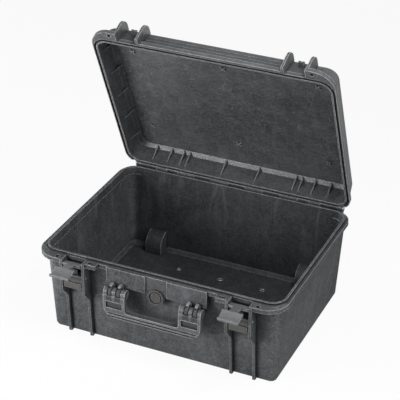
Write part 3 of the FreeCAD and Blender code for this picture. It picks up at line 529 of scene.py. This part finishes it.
base_plastic = moulded_plastic(
    "base_plastic", shell_colours, roughness=0.78, grain=0.24, shine=0.12, wear_and_highlight=0.9, deep_shade=0.8,
    middle=base_middle, inner_roughness=0.31, inner_painted_shade=0.38,
    shade=bay_shade, rubbed_and_highlit=corner_rub_and_highlight, calm=wall_share, unshaded=lug_share,
)
lid_plastic = moulded_plastic(
    "lid_plastic", shell_colours, roughness=0.66, grain=0.26, shine=0.5,
    middle=lid_middle, inner_roughness=0.27,
)
handle_plastic = moulded_plastic(
    "handle_plastic", handle_colours, roughness=0.36, grain=0.15, shine=0.5, edge=0.0019, sharp=0.94,
    shade=handle_shade,
)
latch_plastic = moulded_plastic(
    "latch_plastic", latch_colours, roughness=0.27, grain=0.12, shine=0.5, edge=0.0012, wear_and_highlight=0.7,
)
lock_plastic = moulded_plastic(
    "lock_plastic", lock_colours, roughness=0.42, grain=0.12, shine=0.4, edge=0.0012, shade=lock_shade,
)
ring_plastic = moulded_plastic(
    "ring_plastic", ring_colours, roughness=0.26, grain=0.12, shine=0.5, edge=0.0007, wear_and_highlight=0.5,
)
stud_plastic = moulded_plastic(
    "stud_plastic", stud_colours, roughness=0.14, grain=0.05, shine=1.0, edge=0.0012,
)
tab_plastic = moulded_plastic(
    "tab_plastic", tab_colours, roughness=0.4, grain=0.1, shine=0.4, edge=0.001,
)
valve_plastic = moulded_plastic(
    "valve_plastic", valve_colours, roughness=0.36, grain=0.12, shine=0.45, edge=0.001,
)
seal_rubber = rubber("seal_rubber")
pin_steel = drawn_steel("pin_steel")
membrane_film = porous_film("membrane_film")

finishes = {
    "base_shell": base_plastic,
    "lid_shell": lid_plastic,
    "lid_seal": seal_rubber,
    "hinge_pin": pin_steel,
    "handle": handle_plastic,
    "valve_body": ring_plastic,
    "valve_cap": valve_plastic,
    "valve_membrane": membrane_film,
    "valve_o_ring": seal_rubber,
    "valve_nut": base_plastic,
}
for side in ("left", "right"):
    finishes["handle_pin_" + side] = pin_steel
    finishes["latch_hook_" + side] = latch_plastic
    finishes["latch_lock_" + side] = lock_plastic
    finishes["latch_hook_pin_" + side] = pin_steel
    finishes["latch_lock_pin_" + side] = pin_steel

for node, finish in finishes.items():
    mesh = bpy.data.objects[node].data
    mesh.materials.clear()
    mesh.materials.append(finish)


# Pin ends, stud caps and lug tabs

def turned_form(build, profile, centre, axis, steps):
    """Turns a line of points about an axis into a round form."""
    points = [build.verts.new(point) for point in profile]
    lines = [build.edges.new(pair) for pair in zip(points, points[1:])]
    bmesh.ops.spin(
        build, geom=points + lines, cent=centre, axis=axis, angle=2.0 * math.pi, steps=steps, use_merge=True,
    )


def close_turned(build, steps):
    """Merges the seams of turned forms, closes their open ends and points their faces outwards."""
    bmesh.ops.remove_doubles(build, verts=build.verts, dist=merge_distance)
    bmesh.ops.holes_fill(build, edges=[e for e in build.edges if e.is_boundary], sides=steps)
    bmesh.ops.recalc_face_normals(build, faces=build.faces)


def small_piece(build, name, finish):
    """Smooth object made from a bmesh, with its finish."""
    mesh = bpy.data.meshes.new(name)
    build.to_mesh(mesh)
    build.free()
    mesh.shade_smooth()
    mesh.materials.append(finish)
    piece = bpy.data.objects.new(name, mesh)
    bpy.context.scene.collection.objects.link(piece)
    return piece


def pin_heads(node):
    """Shallow domed ends on a pin, one each side, turned about the pin's own axis."""
    low, high = (Vector(corner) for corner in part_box(node))
    centre = (low + high) / 2.0
    radius = (high.z - low.z) / 2.0
    build = bmesh.new()
    for end, outward in ((low.x, -1.0), (high.x, 1.0)):
        profile = [
            (end + outward * rise * radius, centre.y, centre.z + share * radius) for share, rise in pin_profile
        ]
        turned_form(build, profile, (end, centre.y, centre.z), (1.0, 0.0, 0.0), pin_steps)
    close_turned(build, pin_steps)
    piece = small_piece(build, node + "_heads", pin_steel)
    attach(piece, "base")


def stud_caps():
    """Smooth rounded caps on the floor studs, each with a low ring round its foot."""
    build = bmesh.new()
    for x in (-stud_pitch, 0.0, stud_pitch):
        for y in (-stud_y, stud_y):
            profile = [
                (x + share * stud_radius, y, floor_top + rise * stud_height) for share, rise in stud_profile
            ]
            turned_form(build, profile, (x, y, floor_top), (0.0, 0.0, 1.0), stud_steps)
    close_turned(build, stud_steps)
    piece = small_piece(build, "stud_caps", stud_plastic)
    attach(piece, "base")


def lug_tabs():
    """Small pale tabs that stand out from the front panel over the handle lugs."""
    build = bmesh.new()
    for x in (-lug_places[1], -lug_places[0], lug_places[0], lug_places[1]):
        outline = [build.verts.new((x - tab_half, y, z)) for y, z in tab_profile]
        end = build.faces.new(outline)
        grown = bmesh.ops.extrude_face_region(build, geom=[end])["geom"]
        moved = [item for item in grown if isinstance(item, bmesh.types.BMVert)]
        bmesh.ops.translate(build, verts=moved, vec=(2.0 * tab_half, 0.0, 0.0))
    bmesh.ops.recalc_face_normals(build, faces=build.faces)
    bmesh.ops.bevel(
        build, geom=build.edges[:], offset=tab_round, affect="EDGES", segments=3, profile=0.5, material=-1,
    )
    bmesh.ops.recalc_face_normals(build, faces=build.faces)
    piece = small_piece(build, "lug_tabs", tab_plastic)
    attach(piece, "base")


for node in finishes:
    if "_pin" in node:
        pin_heads(node)
stud_caps()
lug_tabs()


# Floor, light and camera

def bright_rays(tree):
    """Share of 1 for the rays that see the white studio: straight, mirrored and passed through."""
    path = tree.nodes.new("ShaderNodeLightPath")
    return strongest(
        tree, path.outputs["Is Camera Ray"], path.outputs["Is Glossy Ray"], path.outputs["Is Transmission Ray"],
    )


def mixed(tree, share, first, second, output):
    """Joins two shaders by a share into an output's surface."""
    mix = tree.nodes.new("ShaderNodeMixShader")
    tree.links.new(share, mix.inputs["Fac"])
    tree.links.new(first, mix.inputs[1])
    tree.links.new(second, mix.inputs[2])
    tree.links.new(mix.outputs["Shader"], output.inputs["Surface"])


def pale_floor():
    """Pale floor that keeps a soft shadow and reads as nearly white to the camera."""
    build = bmesh.new()
    bmesh.ops.create_grid(build, x_segments=1, y_segments=1, size=floor_size)
    mesh = bpy.data.meshes.new("pale_floor")
    build.to_mesh(mesh)
    build.free()
    floor = bpy.data.objects.new("pale_floor", mesh)
    bpy.context.scene.collection.objects.link(floor)
    material = bpy.data.materials.new("pale_floor")
    material.use_nodes = True
    tree = material.node_tree
    tree.nodes.clear()
    output = tree.nodes.new("ShaderNodeOutputMaterial")
    matt = tree.nodes.new("ShaderNodeBsdfDiffuse")
    matt.inputs["Color"].default_value = floor_colour
    glow = tree.nodes.new("ShaderNodeEmission")
    glow.inputs["Color"].default_value = white
    glow.inputs["Strength"].default_value = 1.0
    share = product(tree, bright_rays(tree), floor_glow)
    mixed(tree, share, matt.outputs["BSDF"], glow.outputs["Emission"], output)
    mesh.materials.append(material)


def studio_world():
    """Soft even light from all round, white to the camera."""
    world = bpy.data.worlds.new("studio")
    bpy.context.scene.world = world
    world.use_nodes = True
    tree = world.node_tree
    tree.nodes.clear()
    output = tree.nodes.new("ShaderNodeOutputWorld")
    lights = []
    for colour, strength in ((room_colour, room_light), (white, 1.0)):
        light = tree.nodes.new("ShaderNodeBackground")
        light.inputs["Color"].default_value = colour
        light.inputs["Strength"].default_value = strength
        lights.append(light.outputs["Background"])
    mixed(tree, bright_rays(tree), lights[0], lights[1], output)


def soft_box(name, place, size, power):
    """Large soft lamp that faces the case."""
    lamp = bpy.data.lights.new(name, "AREA")
    lamp.shape = "SQUARE"
    lamp.size = size
    lamp.energy = power
    holder = bpy.data.objects.new(name, lamp)
    holder.location = place
    aim = Vector(lamp_aim) - Vector(place)
    holder.rotation_euler = aim.to_track_quat("-Z", "Y").to_euler()
    bpy.context.scene.collection.objects.link(holder)


def photo_camera():
    """Camera at the photograph's angle, with its lens set for the frame's width in pixels."""
    azimuth = math.radians(camera_azimuth)
    elevation = math.radians(camera_elevation)
    roll = math.radians(camera_roll)
    back = Vector((
        math.sin(azimuth) * math.cos(elevation),
        -math.cos(azimuth) * math.cos(elevation),
        math.sin(elevation),
    ))
    right = Vector((math.cos(azimuth), math.sin(azimuth), 0.0))
    down = -back.cross(right)
    centre = Vector(camera_aim) + back * camera_distance + right * camera_right - down * camera_up
    side = right * math.cos(roll) + down * math.sin(roll)
    up = right * math.sin(roll) - down * math.cos(roll)
    camera = bpy.data.cameras.new("photo_camera")
    camera.sensor_width = sensor_width
    camera.sensor_fit = "HORIZONTAL"
    camera.lens = sensor_width * focal_pixels / frame_pixels
    holder = bpy.data.objects.new("photo_camera", camera)
    turn = Matrix((side, up, back)).transposed()
    holder.matrix_world = Matrix.Translation(centre) @ turn.to_4x4()
    bpy.context.scene.collection.objects.link(holder)
    bpy.context.scene.camera = holder


pale_floor()
studio_world()
soft_box("left_low_box", place=(-0.9, -1.3, 0.42), size=0.7, power=22.0)
soft_box("left_box", place=(-2.8, 0.1, 1.5), size=1.2, power=30.0)
soft_box("right_box", place=(1.9, -0.7, 1.0), size=0.7, power=12.0)
soft_box("front_box", place=(-0.2, -1.9, 2.6), size=1.2, power=4.0)
soft_box("inside_box", place=(0.55, -0.3, 1.25), size=0.5, power=9.0)
photo_camera()
bpy.context.scene.view_settings.view_transform = "Standard"
